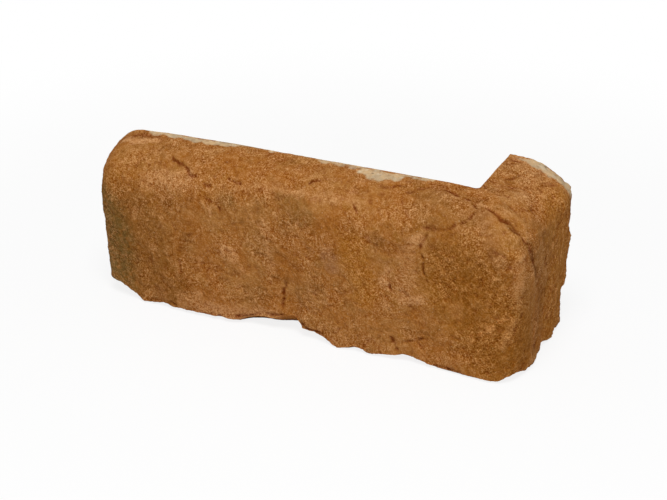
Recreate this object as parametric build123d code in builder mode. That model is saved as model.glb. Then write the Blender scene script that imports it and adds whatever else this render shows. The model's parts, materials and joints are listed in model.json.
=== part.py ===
from build123d import *

import os
from math import ceil, cos, pi, radians, sin, sqrt

# Concrete stone veneer corner, in millimetres.
# One cast L-shaped unit: flat backs inside the L, a flat bed, and one rock face carried round the corner.
# The origin is at the middle of the unit's box, on the bed. The long leg runs along X with its rock face
# towards -Y, and the return runs along +Y from the corner at +X, with its rock face towards +X.

# Overall sizes
long_leg = 305.0  # end of the long leg to the return's rock face
return_leg = 100.0  # end of the return to the long leg's rock face
height = 115.0  # bed to the back top edge
long_thickness = 40.0  # back to the proudest rock on the long leg
return_thickness = 46.0  # the same on the return
inside_radius = 3.0  # mould fillet where the two backs meet

# The corner: sections swing about an upright axis that stands behind the two backs
corner_swing = 30.0  # the axis stands this far behind each back
corner_sharpness = 7.7  # exponent of the rounded rectangle that the outer corner follows
swing_step = 15.0  # degrees from one section to the next

# Rounded ends
left_end_radius = 18.5  # in plan, where the face turns into the end of the long leg
left_end_crown = 23.0  # in elevation, where the top rolls down to that end
left_top_fall = 1.6  # the back top edge drops this much towards that end
left_top_fall_length = 95.0
return_end_radius = 6.0
rim_angle = 40.0  # degrees of each quarter circle that the flat ends cut off
end_turns = 3  # sections that share the rest of each quarter circle

# The rock shoulder: the top rolls over into the face
shoulder_left = 34.5  # how far down the face starts, at the end of the long leg
shoulder_middle = 30.0
shoulder_corner = 28.0
shoulder_return = 23.5
fullness_left = 0.64  # 0.55 is a quarter ellipse, nearer 1 is squarer
fullness_middle = 0.68
fullness_corner = 0.58
fullness_return = 0.52
brow_fullness = 0.08  # a brow swells the shoulder just before the corner
brow_place = 247.0  # distance of its middle from the end of the long leg
brow_half_length = 30.0

# Long waves in the rock face, as depths below the proudest rock, with a crest on the corner
face_wave = 2.0
long_wave_length = 104.0
return_wave_length = 64.0
waist_hollow = 1.2  # the face dips this much between its shoulder and its foot
waist_wave_length = 77.0
foot_draw = 2.5  # the face leans back by this much at its foot

# The broken lower edge: the face ends above the bed, and a slanting break runs back to the bed
edge_lift = 1.7
break_run = 7.0  # how far the break runs back where nothing is chipped
chip_slope = 4.0  # extra run for each millimetre of chip
chip_recess = 0.35  # how far the face steps back for each millimetre of chip
toe_chip = 10.0  # height of the chip off the foot of the left end
toe_chip_length = 38.0
left_spall = 1.4  # a shallow spall between the toe and the notch
left_spall_place = 80.0
left_spall_half_length = 52.0
notch_height = 12.0  # the notch half-way along the long leg's foot
notch_place = 144.5  # distance of its highest point from the end of the long leg
notch_rise = 50.0  # it rises slowly from the left
notch_fall = 38.0  # and falls quickly at first to the right
notch_steepness = 1.7  # 1 is an even fall
right_spall = 3.2  # a shallow spall between the notch and the corner
right_spall_place = 226.0
right_spall_half_length = 26.0
corner_chip = 3.5  # chip off the foot of the outer corner
corner_chip_offset = 7.0  # past the middle of the corner, towards the return
corner_chip_half_length = 11.0
heel_chip = 1.2  # chip off the foot of the return, towards its end
heel_chip_place = 24.0  # distance from the end of the return
heel_chip_half_length = 20.0

section_pitch = 10.0  # sections along the straight legs
back_overcut = 4.0  # how far the rough block runs past the backs before they are cut flat
bed_overcut = 1.5  # how far it runs below the bed before that is cut flat
wall_overcut = 10.0  # how far the cut for the wall runs past the top and the bed

# Places that follow from the sizes
back_x = long_leg / 2 - return_thickness  # back of the return
back_y = -return_leg / 2 + long_thickness  # back of the long leg
left_x = -long_leg / 2
end_y = return_leg / 2
axis_x = back_x - corner_swing
axis_y = back_y + corner_swing
long_run = axis_x - left_x  # straight skin of the long leg
turn_run = (corner_swing + (long_thickness + return_thickness) / 2) * pi / 2  # skin round the corner
return_run = end_y - axis_y
whole_run = long_run + turn_run + return_run
corner_middle = long_run + turn_run / 2


def ease(t):
    """Smooth step from 0 to 1, level at both ends."""
    t = min(max(t, 0.0), 1.0)
    return t * t * (3 - 2 * t)


def hump(s, place, rise, fall):
    """1 at a place along the skin, down to 0 at a rise before it and a fall after it: half ramp, half eased."""
    t = 1 - (place - s) / rise if s < place else 1 - (s - place) / fall
    return (min(max(t, 0.0), 1.0) + ease(t)) / 2


def along(s, left, middle, corner, end):
    """A size that changes smoothly from the left end, by the long leg's middle, to the corner and the end."""
    middle_s = long_run / 2
    if s < middle_s:
        return left + (middle - left) * ease(s / middle_s)
    if s < corner_middle:
        return middle + (corner - middle) * ease((s - middle_s) / (corner_middle - middle_s))
    return corner + (end - corner) * ease((s - corner_middle) / (whole_run - corner_middle))


def end_place(radius, turn):
    """Distance from a flat end of a point of its round edge, for the angle that the edge has turned there."""
    return radius * (cos(radians(rim_angle)) - cos(turn))


def end_round(distance, radius):
    """How far the round edge lies inside its corner, at a distance from the flat end."""
    to_centre = radius * cos(radians(rim_angle)) - distance
    return radius - sqrt(radius**2 - to_centre**2) if to_centre > 0 else 0.0


def corner_reach(angle, long_depth, return_depth):
    """How far the rock stands out from the backs, on a rounded rectangle about the swing axis."""
    n = corner_sharpness
    long_part = cos(angle) / (corner_swing + long_depth)
    return_part = sin(angle) / (corner_swing + return_depth)
    return (abs(long_part) ** n + abs(return_part) ** n) ** (-1 / n) - corner_swing


def swing_angle(s):
    """Angle that the section at s has turned round the corner."""
    return min(max((s - long_run) / turn_run, 0.0), 1.0) * pi / 2


def section_plane(s):
    """Upright plane across the unit: its origin on the back, its x axis outwards through the rock."""
    angle = swing_angle(s)
    outward = Vector(sin(angle), -cos(angle), 0)
    x = axis_x + outward.X * corner_swing + min(s - long_run, 0.0)
    y = axis_y + outward.Y * corner_swing + max(s - long_run - turn_run, 0.0)
    return Plane(origin=(x, y, 0), x_dir=outward, z_dir=(outward.Y, -outward.X, 0))


def chip_height(s):
    """Height of the face's lower edge above the bed."""
    toe = toe_chip * ease(1 - s / toe_chip_length)
    steepness = 1.0 if s < notch_place else notch_steepness
    notch = notch_height * hump(s, notch_place, notch_rise, notch_fall) ** steepness
    left = left_spall * hump(s, left_spall_place, left_spall_half_length, left_spall_half_length)
    right = right_spall * hump(s, right_spall_place, right_spall_half_length, right_spall_half_length)
    corner_place = corner_middle + corner_chip_offset
    corner = corner_chip * hump(s, corner_place, corner_chip_half_length, corner_chip_half_length)
    heel = heel_chip * hump(s, whole_run - heel_chip_place, heel_chip_half_length, heel_chip_half_length)
    return edge_lift + toe + left + notch + right + corner + heel


def rough_section(s):
    """Sizes of the rough block's outline at s, measured out from the back and up from the bed."""
    wave_length = long_wave_length if s < corner_middle else return_wave_length
    wave = (1 - cos(2 * pi * (s - corner_middle) / wave_length)) / 2
    waist = (1 + sin(2 * pi * s / waist_wave_length)) / 2
    in_plan = end_round(s, left_end_radius) + end_round(whole_run - s, return_end_radius)
    sunk = face_wave * wave + in_plan
    reach = corner_reach(swing_angle(s), long_thickness - sunk, return_thickness - sunk)
    top = height - end_round(s, left_end_crown) - left_top_fall * ease(1 - s / left_top_fall_length)
    face_top = top - along(s, shoulder_left, shoulder_middle, shoulder_corner, shoulder_return)
    fullness = along(s, fullness_left, fullness_middle, fullness_corner, fullness_return)
    fullness += brow_fullness * hump(s, brow_place, brow_half_length, brow_half_length)
    foot = chip_height(s)
    foot_reach = reach - foot_draw - chip_recess * (foot - edge_lift)
    full_run = break_run + chip_slope * (foot - edge_lift)
    break_reach = foot_reach - foot_reach * full_run / (foot_reach + full_run)
    return reach, top, face_top, fullness, waist_hollow * waist, foot, foot_reach, break_reach


def section_places():
    """Distances along the skin of every section, closer together where the ends are round."""
    turns = [radians(rim_angle + (90 - rim_angle) * i / end_turns) for i in range(end_turns)]
    left = [end_place(left_end_crown, turn) for turn in turns]
    right = [whole_run - end_place(return_end_radius, turn) for turn in reversed(turns)]
    long_from = end_place(left_end_crown, pi / 2)
    return_to = whole_run - end_place(return_end_radius, pi / 2)
    long_count = ceil((long_run - long_from) / section_pitch)
    return_from = long_run + turn_run
    return_count = ceil((return_to - return_from) / section_pitch)
    turn_count = ceil(90 / swing_step)
    straight = [long_from + (long_run - long_from) * i / long_count for i in range(long_count)]
    corner = [long_run + turn_run * i / turn_count for i in range(turn_count)]
    back = [return_from + (return_to - return_from) * i / return_count for i in range(return_count + 1)]
    return left + straight + corner + back + right


with BuildPart() as veneer_corner:
    # The rough block, as one skin through every section
    for place in section_places():
        reach, top, face_top, fullness, hollow, foot, foot_reach, break_reach = rough_section(place)
        third = (face_top - foot) / 3
        with BuildSketch(section_plane(place)):
            with BuildLine():
                shoulder = Bezier(
                    (-back_overcut, top),
                    (reach * fullness, top),
                    (reach, face_top + (top - face_top) * fullness),
                    (reach, face_top),
                )
                face = Bezier(
                    shoulder @ 1,
                    (reach, face_top - third),
                    (foot_reach - hollow, foot + third),
                    (foot_reach, foot),
                )
                underside = Line(face @ 1, (break_reach, -bed_overcut))
                bed = Line(underside @ 1, (-back_overcut, -bed_overcut))
                Line(bed @ 1, shoulder @ 0)
            make_face()
    loft()

    # The flat bed
    split(bisect_by=Plane.XY, keep=Keep.TOP)

    # The two flat backs, with the mould fillet between them
    with BuildSketch(Plane.XY.offset(-wall_overcut)) as wall_plan:
        with Locations((back_x, back_y)):
            Rectangle(long_leg, return_leg, align=(Align.MAX, Align.MIN))
        fillet(wall_plan.vertices().group_by(Axis.X)[-1].sort_by(Axis.Y)[0], inside_radius)
    extrude(amount=height + 2 * wall_overcut, mode=Mode.SUBTRACT)

veneer_corner.part.label = "veneer_corner"
os.makedirs("parts", exist_ok=True)
export_step(veneer_corner.part, "parts/veneer_corner.step")
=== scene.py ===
import json
import logging
import math
from dataclasses import dataclass
from enum import Enum
from functools import cached_property

import bpy
import numpy as np
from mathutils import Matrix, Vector


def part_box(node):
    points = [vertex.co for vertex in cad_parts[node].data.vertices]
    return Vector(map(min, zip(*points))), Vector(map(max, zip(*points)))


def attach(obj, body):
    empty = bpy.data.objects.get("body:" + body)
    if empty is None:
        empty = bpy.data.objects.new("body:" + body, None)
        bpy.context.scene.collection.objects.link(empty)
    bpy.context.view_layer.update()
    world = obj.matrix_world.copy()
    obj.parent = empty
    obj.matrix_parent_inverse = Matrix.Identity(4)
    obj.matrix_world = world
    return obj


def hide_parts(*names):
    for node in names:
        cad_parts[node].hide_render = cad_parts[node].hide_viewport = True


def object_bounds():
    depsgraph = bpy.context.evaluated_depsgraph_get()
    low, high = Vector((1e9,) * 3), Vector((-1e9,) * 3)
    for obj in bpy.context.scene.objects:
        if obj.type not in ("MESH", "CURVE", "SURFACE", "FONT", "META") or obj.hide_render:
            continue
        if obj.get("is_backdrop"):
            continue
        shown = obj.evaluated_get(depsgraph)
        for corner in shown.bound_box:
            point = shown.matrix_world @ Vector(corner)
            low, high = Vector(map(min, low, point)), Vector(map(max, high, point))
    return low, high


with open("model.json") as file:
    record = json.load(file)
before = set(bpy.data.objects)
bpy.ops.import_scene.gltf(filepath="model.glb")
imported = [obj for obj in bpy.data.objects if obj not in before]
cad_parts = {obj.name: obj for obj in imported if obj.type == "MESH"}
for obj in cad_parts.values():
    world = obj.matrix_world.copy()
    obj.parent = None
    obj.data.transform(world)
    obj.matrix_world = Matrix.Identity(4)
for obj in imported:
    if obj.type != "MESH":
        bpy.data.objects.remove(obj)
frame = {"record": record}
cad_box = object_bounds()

# Concrete stone veneer corner: an L-shaped cast unit with a split-rock face carried round its corner.
# Shapes are worked out in millimetres and written to the mesh in metres.
# A place on the skin is given by two distances: along the skin from the end of the long leg, and down
# the section from the back top edge, over the shoulder and down the face.

MM = 0.001
NODE = "veneer_corner"
BODY = "root"

Colour = tuple[float, float, float, float]
Place = tuple[float, float]
# A noise: the size of its features in millimetres, its detail, its roughness and its twist
Pattern = tuple[float, ...]
# An eased step: where it starts, where it ends, and how high it is there
Step = tuple[float, ...]
Mottle = tuple[Pattern, Step]
Spots = tuple[float, Step]

log = logging.getLogger(NODE)


def ease(t: np.ndarray) -> np.ndarray:
    """Smooth step from 0 to 1, level at both ends: t squared times (3 - 2 t)."""
    t = np.clip(t, 0.0, 1.0)
    return t * t * (3 - 2 * t)


def ease_between(value: np.ndarray, low: float, high: float) -> np.ndarray:
    """Smooth step that starts at low and is complete at high."""
    return ease((value - low) / (high - low))


def hump(s: np.ndarray, place: float, rise: float, fall: float) -> np.ndarray:
    """One at a place, down to zero at a rise before it and a fall after it: half a ramp and half eased."""
    t = np.clip(np.where(s < place, 1 - (place - s) / rise, 1 - (s - place) / fall), 0.0, 1.0)
    return (t + ease(t)) / 2


def cubic(t: np.ndarray, a: np.ndarray, b: np.ndarray, c: np.ndarray, d: np.ndarray) -> np.ndarray:
    """Cubic Bezier value: the four controls weighed by the Bernstein polynomials of t."""
    u = 1 - t
    return u**3 * a + 3 * u**2 * t * b + 3 * u * t**2 * c + t**3 * d


def unit_vectors(vectors: np.ndarray) -> np.ndarray:
    """The same directions with length one."""
    return vectors / np.maximum(np.linalg.norm(vectors, axis=-1, keepdims=True), 1e-12)


def column(values: np.ndarray) -> np.ndarray:
    """The values as one column, so that each spreads over a row."""
    return values[:, None]


class Noise:
    """Seeded 3-D gradient noise: a random gradient at each whole-number point, blended by a quintic fade."""

    TABLE = 256
    APART = np.array([[0.0, 0.0, 0.0], [37.0, 11.0, 5.0], [7.0, 53.0, 29.0]])

    def __init__(self, seed: int) -> None:
        """Draws the gradients and the order in which the cells use them.

        Args:
            seed: start of the random draw, so that every run gives the same rock.
        """
        draw = np.random.default_rng(seed)
        self.gradients = unit_vectors(draw.normal(size=(self.TABLE, 3)))
        self.order = np.tile(draw.permutation(self.TABLE), 3)
        self.shift = draw.uniform(0, self.TABLE, 3)

    def at(self, points: np.ndarray, size: float) -> np.ndarray:
        """Noise between about -0.7 and 0.7.

        Args:
            points: places in millimetres, in the last axis.
            size: distance over which the noise changes, in millimetres.

        Returns:
            One value for each place.
        """
        scaled = points / size + self.shift
        cell = np.floor(scaled).astype(int)
        part = scaled - cell
        fade = part**3 * (part * (part * 6 - 15) + 10)
        total = np.zeros(points.shape[:-1])
        for corner in np.ndindex(2, 2, 2):
            key = np.zeros(points.shape[:-1], int)
            weight = np.ones(points.shape[:-1])
            for axis, step in enumerate(corner):
                key = self.order[key + ((cell[..., axis] + step) % self.TABLE)]
                weight = weight * (fade[..., axis] if step else 1 - fade[..., axis])
            total += weight * ((part - np.array(corner)) * self.gradients[key]).sum(-1)
        return total

    def layers(self, points: np.ndarray, size: float, count: int, gain: float = 0.5) -> np.ndarray:
        """Noise at a size plus finer layers, each half the size and gain times as strong as the last."""
        return sum(self.at(points, size / 2**i) * gain**i for i in range(count))

    def vectors(self, points: np.ndarray, size: float) -> np.ndarray:
        """Three noises at once, read far apart, as a small move of each point."""
        return np.stack([self.at(points + move, size) for move in self.APART * size], -1)


@dataclass(frozen=True)
class FootBreak:
    """A chip in the lower edge of the face.

    Its middle is at place along the skin, it rises there over the first length and falls over the second,
    and rise is its height in millimetres.
    """

    place: float
    rise: float
    before: float
    after: float

    def height(self, s: np.ndarray) -> np.ndarray:
        """Height that it adds to the lower edge at each distance along the skin."""
        return self.rise * hump(s, self.place, self.before, self.after)


@dataclass(frozen=True)
class BlockShape:
    """The cast block before its relief, in millimetres, with the sizes of the solid that it stands for."""

    left_x: float
    right_x: float
    front_y: float
    end_y: float
    height: float
    back_x: float
    back_y: float
    inside_radius: float = 3.0
    corner_swing: float = 30.0
    corner_sharpness: float = 7.7
    left_end_radius: float = 18.5
    left_end_crown: float = 23.0
    left_top_fall: float = 1.6
    left_top_fall_length: float = 95.0
    return_end_radius: float = 6.0
    rim_angle: float = 40.0
    shoulders: tuple[float, ...] = (34.5, 30.0, 28.0, 23.5)
    fullness: tuple[float, ...] = (0.64, 0.68, 0.58, 0.52)
    brow_fullness: float = 0.08
    brow_place: float = 247.0
    brow_half_length: float = 30.0
    face_wave: float = 2.0
    long_wave_length: float = 104.0
    return_wave_length: float = 64.0
    waist_hollow: float = 1.2
    waist_wave_length: float = 77.0
    foot_draw: float = 2.5
    edge_lift: float = 1.7
    least_lift: float = 0.3
    break_run: float = 7.0
    chip_slope: float = 4.0
    chip_recess: float = 0.35
    bed_overcut: float = 1.5
    back_overcut: float = 4.0
    toe_chip: float = 10.0
    toe_chip_length: float = 38.0
    notch_height: float = 12.0
    notch_place: float = 144.5
    notch_rise: float = 50.0
    notch_fall: float = 38.0
    notch_steepness: float = 1.7

    @property
    def axis(self) -> np.ndarray:
        """Plan place of the upright axis that the corner's sections swing about."""
        return np.array([self.back_x - self.corner_swing, self.back_y + self.corner_swing])

    @property
    def long_thickness(self) -> float:
        """Thickness of the long leg."""
        return self.back_y - self.front_y

    @property
    def return_thickness(self) -> float:
        """Thickness of the return."""
        return self.right_x - self.back_x

    @property
    def long_run(self) -> float:
        """Length of the long leg's straight skin."""
        return self.axis[0] - self.left_x

    @property
    def turn_run(self) -> float:
        """Length of the skin round the corner, half-way through its thickness."""
        return (self.corner_swing + (self.long_thickness + self.return_thickness) / 2) * math.pi / 2

    @property
    def whole_run(self) -> float:
        """Length of the whole skin."""
        return self.long_run + self.turn_run + self.end_y - self.axis[1]

    @property
    def corner_middle(self) -> float:
        """Distance along the skin of the corner's middle."""
        return self.long_run + self.turn_run / 2

    def eased(self, s: np.ndarray, values: tuple[float, ...]) -> np.ndarray:
        """A size that changes smoothly along the skin, by three eased steps.

        Args:
            s: distances along the skin.
            values: the size at the left end, the long leg's middle, the corner and the far end.

        Returns:
            The size at each distance.
        """
        left, middle, corner, end = values
        half = self.long_run / 2
        size = left + (middle - left) * ease_between(s, 0, half)
        size = size + (corner - middle) * ease_between(s, half, self.corner_middle)
        return size + (end - corner) * ease_between(s, self.corner_middle, self.whole_run)

    def end_round(self, distance: np.ndarray, radius: float) -> np.ndarray:
        """How far the round edge lies inside its corner, at a distance from the flat end."""
        to_centre = np.maximum(radius * math.cos(math.radians(self.rim_angle)) - distance, 0.0)
        return radius - np.sqrt(radius**2 - to_centre**2)

    def swing(self, s: np.ndarray) -> np.ndarray:
        """Angle that the section has turned round the corner."""
        return np.clip((s - self.long_run) / self.turn_run, 0.0, 1.0) * math.pi / 2

    def rock_reach(self, s: np.ndarray, sunk: np.ndarray) -> np.ndarray:
        """How far the rock stands out from the backs: a rounded rectangle about the swing axis.

        The cosine over the long leg's reach and the sine over the return's are raised to the sharpness and
        added, and the root of the sum is turned over.

        Args:
            s: distances along the skin.
            sunk: how deep the face lies there below the proudest rock.

        Returns:
            The reach at each distance.
        """
        power, angle = self.corner_sharpness, self.swing(s)
        long_part = np.cos(angle) / (self.corner_swing + self.long_thickness - sunk)
        return_part = np.sin(angle) / (self.corner_swing + self.return_thickness - sunk)
        return (np.abs(long_part) ** power + np.abs(return_part) ** power) ** (-1 / power) - self.corner_swing

    def back_reach(self, s: np.ndarray) -> np.ndarray:
        """How far out the flat backs lie from the sections' own origin.

        It is the distance to the nearer back along the section, or to the fillet's circle where the
        section passes through the fillet.

        Args:
            s: distances along the skin.

        Returns:
            The distance, measured as the rock's reach is.
        """
        across, ahead = np.sin(self.swing(s)), np.cos(self.swing(s))
        flat = self.corner_swing / np.maximum(across, ahead)
        centre = self.corner_swing - self.inside_radius
        towards = (across + ahead) * centre
        within = np.maximum(towards**2 - 2 * centre**2 + self.inside_radius**2, 0.0)
        in_fillet = flat * np.minimum(across, ahead) > centre
        return np.where(in_fillet, towards + np.sqrt(within), flat) - self.corner_swing

    def foot_height(self, s: np.ndarray) -> np.ndarray:
        """Height of the face's lower edge above the bed: the lift, the toe chip, the notch and the chips.

        Args:
            s: distances along the skin.

        Returns:
            The height at each distance, never below the least lift.
        """
        steepness = np.where(s < self.notch_place, 1.0, self.notch_steepness)
        notch = self.notch_height * hump(s, self.notch_place, self.notch_rise, self.notch_fall) ** steepness
        toe = self.toe_chip * ease(1 - s / self.toe_chip_length)
        chips = sum(chip.height(s) for chip in self.foot_breaks())
        return np.maximum(self.edge_lift + toe + notch + chips, self.least_lift)

    def foot_breaks(self) -> tuple[FootBreak, ...]:
        """The chips of the lower edge, and where it hangs lower, from left to right.

        Returns:
            For each its place, its rise, and the lengths before and after it.
        """
        corner, end = self.corner_middle, self.whole_run
        return (
            FootBreak(11.0, 1.0, 8.0, 8.0),
            FootBreak(31.0, -1.5, 6.0, 5.0),
            FootBreak(46.0, 1.3, 8.0, 9.0),
            FootBreak(80.0, 1.4, 52.0, 52.0),
            FootBreak(92.0, 1.2, 8.0, 8.0),
            FootBreak(104.0, -0.8, 5.0, 6.0),
            FootBreak(130.0, -2.0, 13.0, 11.0),
            FootBreak(152.5, -3.4, 6.0, 9.0),
            FootBreak(167.0, 1.6, 6.0, 8.0),
            FootBreak(179.0, -1.3, 6.0, 5.0),
            FootBreak(189.0, 0.8, 5.0, 4.0),
            FootBreak(194.0, 1.6, 7.0, 7.0),
            FootBreak(224.0, 0.7, 5.0, 6.0),
            FootBreak(226.0, 3.2, 26.0, 26.0),
            FootBreak(corner + 1.5, 0.9, 5.0, 5.0),
            FootBreak(corner + 7.0, 3.5, 11.0, 11.0),
            FootBreak(corner + 28.0, -1.9, 8.0, 12.0),
            FootBreak(corner + 45.0, 3.0, 5.0, 12.0),
            FootBreak(end - 18.0, 1.9, 9.0, 16.0),
        )

    def frames(self, s: np.ndarray) -> tuple[np.ndarray, np.ndarray]:
        """Where the sections stand in plan.

        Args:
            s: distances along the skin.

        Returns:
            The place of each section's origin on the backs, and its outward direction.
        """
        angle = self.swing(s)
        outward = np.stack([np.sin(angle), -np.cos(angle)], -1)
        origin = self.axis + outward * self.corner_swing
        origin[:, 0] += np.minimum(s - self.long_run, 0.0)
        origin[:, 1] += np.maximum(s - self.long_run - self.turn_run, 0.0)
        return origin, outward


@dataclass(frozen=True)
class GridCounts:
    """How many columns and rows the skin is divided into."""

    columns: int = 500
    shoulder: int = 40
    face: int = 86
    underside: int = 12
    bed: int = 6
    back: int = 28
    cap: int = 9


class RockGrid:
    """The block's skin as a grid: columns along the skin, rows from the back top edge down to the bed."""

    HALVINGS = 40

    def __init__(self, shape: BlockShape, counts: GridCounts) -> None:
        """Lays the grid on the block.

        Args:
            shape: sizes of the block.
            counts: how finely it is divided.
        """
        self.shape, self.counts = shape, counts
        self.s = np.linspace(0.0, shape.whole_run, counts.columns)
        self.points = self._rock_points()
        steps = np.linalg.norm(np.diff(self.points, axis=1), axis=2)
        self.down = np.concatenate([np.zeros((counts.columns, 1)), np.cumsum(steps, axis=1)], axis=1)
        self.normals = self._outward_normals()

    def _rock_points(self) -> np.ndarray:
        """Points of the shoulder, the face and the slanting break under it.

        The shoulder and the face are cubic Beziers in each section's plane. The shoulder starts where its
        Bezier crosses the flat back, which is found by halving. The break is a straight line to the bed.

        Returns:
            The grid of places, in millimetres.
        """
        shape, counts, s = self.shape, self.counts, self.s
        wave_length = np.where(s < shape.corner_middle, shape.long_wave_length, shape.return_wave_length)
        wave = (1 - np.cos(2 * np.pi * (s - shape.corner_middle) / wave_length)) / 2
        waist = shape.waist_hollow * (1 + np.sin(2 * np.pi * s / shape.waist_wave_length)) / 2
        in_plan = shape.end_round(s, shape.left_end_radius)
        in_plan = in_plan + shape.end_round(shape.whole_run - s, shape.return_end_radius)
        reach = shape.rock_reach(s, shape.face_wave * wave + in_plan)
        left_fall = shape.left_top_fall * ease(1 - s / shape.left_top_fall_length)
        top = shape.height - shape.end_round(s, shape.left_end_crown) - left_fall
        face_top = top - shape.eased(s, shape.shoulders)
        brow = hump(s, shape.brow_place, shape.brow_half_length, shape.brow_half_length)
        full = shape.eased(s, shape.fullness) + shape.brow_fullness * brow
        foot = shape.foot_height(s)
        chipped = foot - shape.edge_lift
        foot_reach = reach - shape.foot_draw - shape.chip_recess * chipped
        full_run = shape.break_run + shape.chip_slope * np.maximum(chipped, 0.0)
        break_run = foot_reach * full_run / (foot_reach + full_run) * foot / (foot + shape.bed_overcut)
        start = self._shoulder_start(reach, full)
        t = column(start) + column(1 - start) * np.linspace(0, 1, counts.shoulder)[None, :-1]
        shoulder_top = column(face_top + (top - face_top) * full)
        shoulder_out = cubic(t, -shape.back_overcut, column(reach * full), column(reach), column(reach))
        shoulder_z = cubic(t, column(top), column(top), shoulder_top, column(face_top))
        t = np.linspace(0, 1, counts.face)[None, :-1]
        third = (face_top - foot) / 3
        face_out = cubic(t, column(reach), column(reach), column(foot_reach - waist), column(foot_reach))
        face_z = cubic(t, column(face_top), column(face_top - third), column(foot + third), column(foot))
        t = np.linspace(0, 1, counts.underside)[None, :]
        break_out = column(foot_reach) - column(break_run) * t
        break_z = column(foot) * (1 - t)
        out = np.concatenate([shoulder_out, face_out, break_out], axis=1)
        z = np.concatenate([shoulder_z, face_z, break_z], axis=1)
        origin, outward = shape.frames(s)
        plan = origin[:, None, :] + outward[:, None, :] * out[..., None]
        return np.concatenate([plan, z[..., None]], axis=2)

    def _shoulder_start(self, reach: np.ndarray, full: np.ndarray) -> np.ndarray:
        """Where the shoulder leaves the flat back, found by halving the range again and again.

        Args:
            reach: reach of the rock at each column.
            full: fullness of the shoulder there.

        Returns:
            The Bezier's parameter for each column.
        """
        back = self.shape.back_reach(self.s)
        low, high = np.zeros_like(self.s), np.ones_like(self.s)
        for _ in range(self.HALVINGS):
            middle = (low + high) / 2
            behind = cubic(middle, -self.shape.back_overcut, reach * full, reach, reach) < back
            low, high = np.where(behind, middle, low), np.where(behind, high, middle)
        return low

    def _outward_normals(self) -> np.ndarray:
        """Normals of the skin: the cross product of the grid's two directions, turned away from the unit.

        Returns:
            One unit vector for each point of the grid.
        """
        along = np.gradient(self.points, axis=0)
        across = np.gradient(self.points, axis=1)
        return unit_vectors(np.cross(across, along))

    def _column_at(self, along: float) -> int:
        """Number of the column nearest to a distance along the skin."""
        return int(round(np.interp(along, self.s, np.arange(len(self.s)))))

    def point(self, place: Place) -> np.ndarray:
        """Where a place on the skin lies in space.

        Args:
            place: its distance along the skin and its distance down.

        Returns:
            The point, in millimetres.
        """
        along, down = place
        at = self._column_at(along)
        return np.array([np.interp(down, self.down[at], self.points[at, :, i]) for i in range(3)])

    def normal(self, place: Place) -> np.ndarray:
        """The outward direction at a place on the skin.

        Args:
            place: its distance along the skin and its distance down.

        Returns:
            The unit vector of the nearest point of the grid.
        """
        along, down = place
        at = self._column_at(along)
        row = int(round(np.interp(down, self.down[at], np.arange(self.down.shape[1]))))
        return self.normals[at, row]


@dataclass(frozen=True)
class Mark:
    """Something that a line or a spot does to the skin.

    The path's places are distances along and down the skin. size is how far it sinks or rises, in
    millimetres, and width is its half width there.
    """

    path: tuple[Place, ...]
    size: float
    width: float

    def measured(self, grid: RockGrid, points: np.ndarray) -> tuple[np.ndarray, np.ndarray, np.ndarray]:
        """How the skin's points lie to the path.

        Args:
            grid: the skin.
            points: its points, moved a little so that the lines waver.

        Returns:
            The distance to the path, the share of the path's length passed there, and which side of it
            the point is on: 1 on its right as seen from outside, -1 on its left.
        """
        knots = np.array([grid.point(place) for place in self.path])
        outward = grid.normal(self.path[len(self.path) // 2])
        lengths = np.linalg.norm(np.diff(knots, axis=0), axis=1)
        passed = np.concatenate([[0.0], np.cumsum(lengths)]) / lengths.sum()
        best = np.full(points.shape[:-1], np.inf)
        share = np.zeros_like(best)
        side = np.zeros_like(best)
        for i, length in enumerate(lengths):
            run = (knots[i + 1] - knots[i]) / length
            offset = points - knots[i]
            t = np.clip(offset @ run, 0.0, length)
            away = offset - t[..., None] * run
            distance = np.linalg.norm(away, axis=-1)
            nearer = distance < best
            best = np.where(nearer, distance, best)
            share = np.where(nearer, passed[i] + t / length * (passed[i + 1] - passed[i]), share)
            side = np.where(nearer, np.sign(away @ np.cross(run, outward)), side)
        return best, share, side

    def relief(self, grid: RockGrid, points: np.ndarray) -> np.ndarray:
        """What the mark does to the skin, for each kind of mark in its own way.

        Args:
            grid: the skin.
            points: its points, moved a little so that the lines waver.

        Returns:
            How far each point moves outwards, in millimetres.
        """
        raise NotImplementedError


@dataclass(frozen=True)
class Groove(Mark):
    """A crack or groove: its depth falls off as a bell on both sides and fades towards its two ends."""

    ENDS = 5
    LEAST = 0.25

    def relief(self, grid: RockGrid, points: np.ndarray) -> np.ndarray:
        """Minus the size times a bell of the distance, times the fade, which takes a fifth of each end.

        Args:
            grid: the skin.
            points: its points, moved a little.

        Returns:
            The move of each point outwards.
        """
        distance, share, _ = self.measured(grid, points)
        fade = ease(share * self.ENDS) * ease((1 - share) * self.ENDS)
        return -self.size * np.exp(-((distance / self.width) ** 2)) * (self.LEAST + (1 - self.LEAST) * fade)


@dataclass(frozen=True)
class Ledge(Mark):
    """A broken step: the skin drops sharply on the path's right side and recovers slowly beyond it."""

    recovery: float = 14.0
    ENDS = 4

    def relief(self, grid: RockGrid, points: np.ndarray) -> np.ndarray:
        """Minus the size on the right side, through a steep eased step, fading out over the recovery.

        Args:
            grid: the skin.
            points: its points, moved a little.

        Returns:
            The move of each point outwards.
        """
        distance, share, side = self.measured(grid, points)
        fade = ease(share * self.ENDS) * ease((1 - share) * self.ENDS)
        step = ease_between(distance * side, -self.width, self.width)
        return -self.size * step * ease(1 - distance / self.recovery) * fade


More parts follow.
